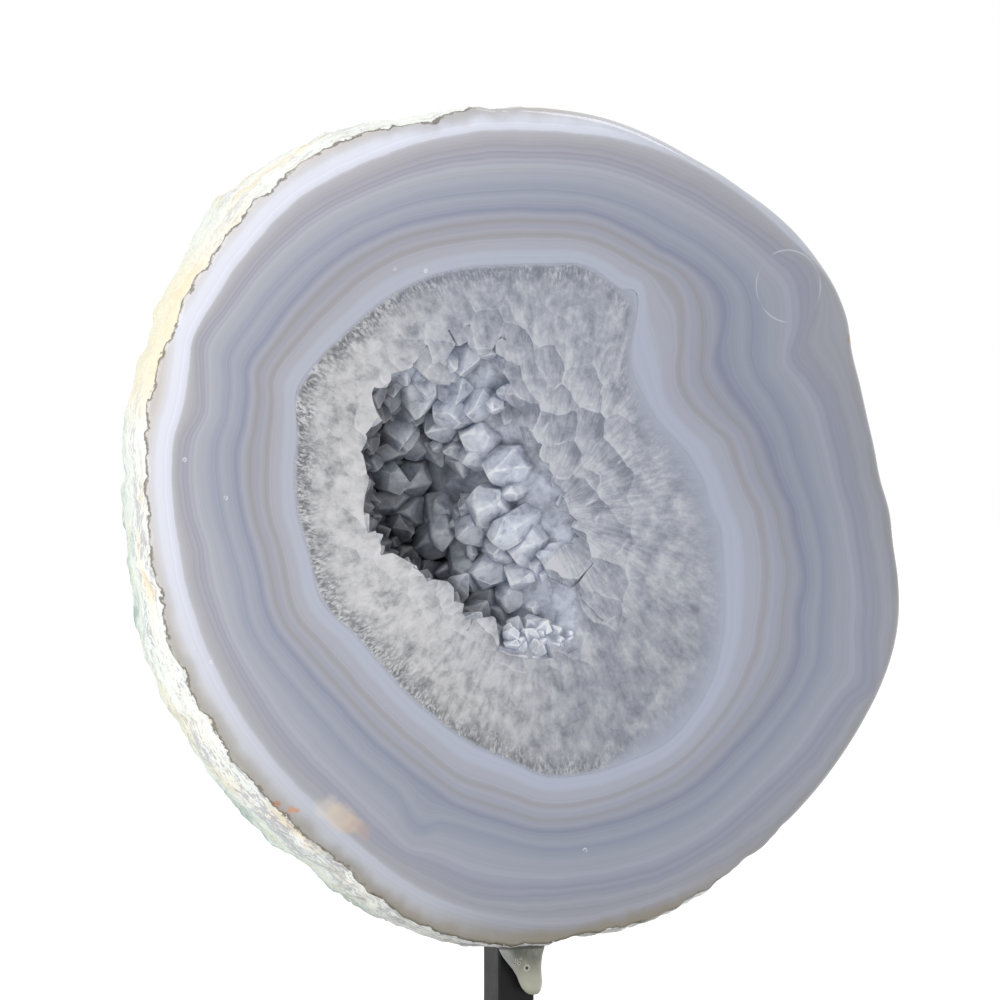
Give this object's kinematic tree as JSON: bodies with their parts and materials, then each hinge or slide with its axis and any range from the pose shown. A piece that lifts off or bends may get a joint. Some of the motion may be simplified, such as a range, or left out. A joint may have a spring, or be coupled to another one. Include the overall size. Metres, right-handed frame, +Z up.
{
  "type": "agate geode",
  "caption": "Half of an agate geode, cut and polished, with banded agate round a hollow lined with quartz crystals, glued upright on a square post and base plate.",
  "frame": {"origin": "centre of the base plate's underside, on the axis of the square post", "axes": "-Y the way the polished cut face looks, +X to the right of the face seen from the front, +Z up along the post"},
  "size_m": [0.2082, 0.14, 0.2831],
  "materials": {
    "agate": "banded blue-grey agate, polished on the cut face, with a rough cream rind",
    "quartz": "clear to milky quartz crystal",
    "epoxy": "clear, slightly green glue",
    "black_paint": "satin black"
  },
  "bodies": {
    "root": {"agate_body": "agate", "quartz_crust": "quartz", "epoxy_glue": "epoxy", "stand_post": "black_paint", "stand_base": "black_paint"}
  },
  "joints": []
}
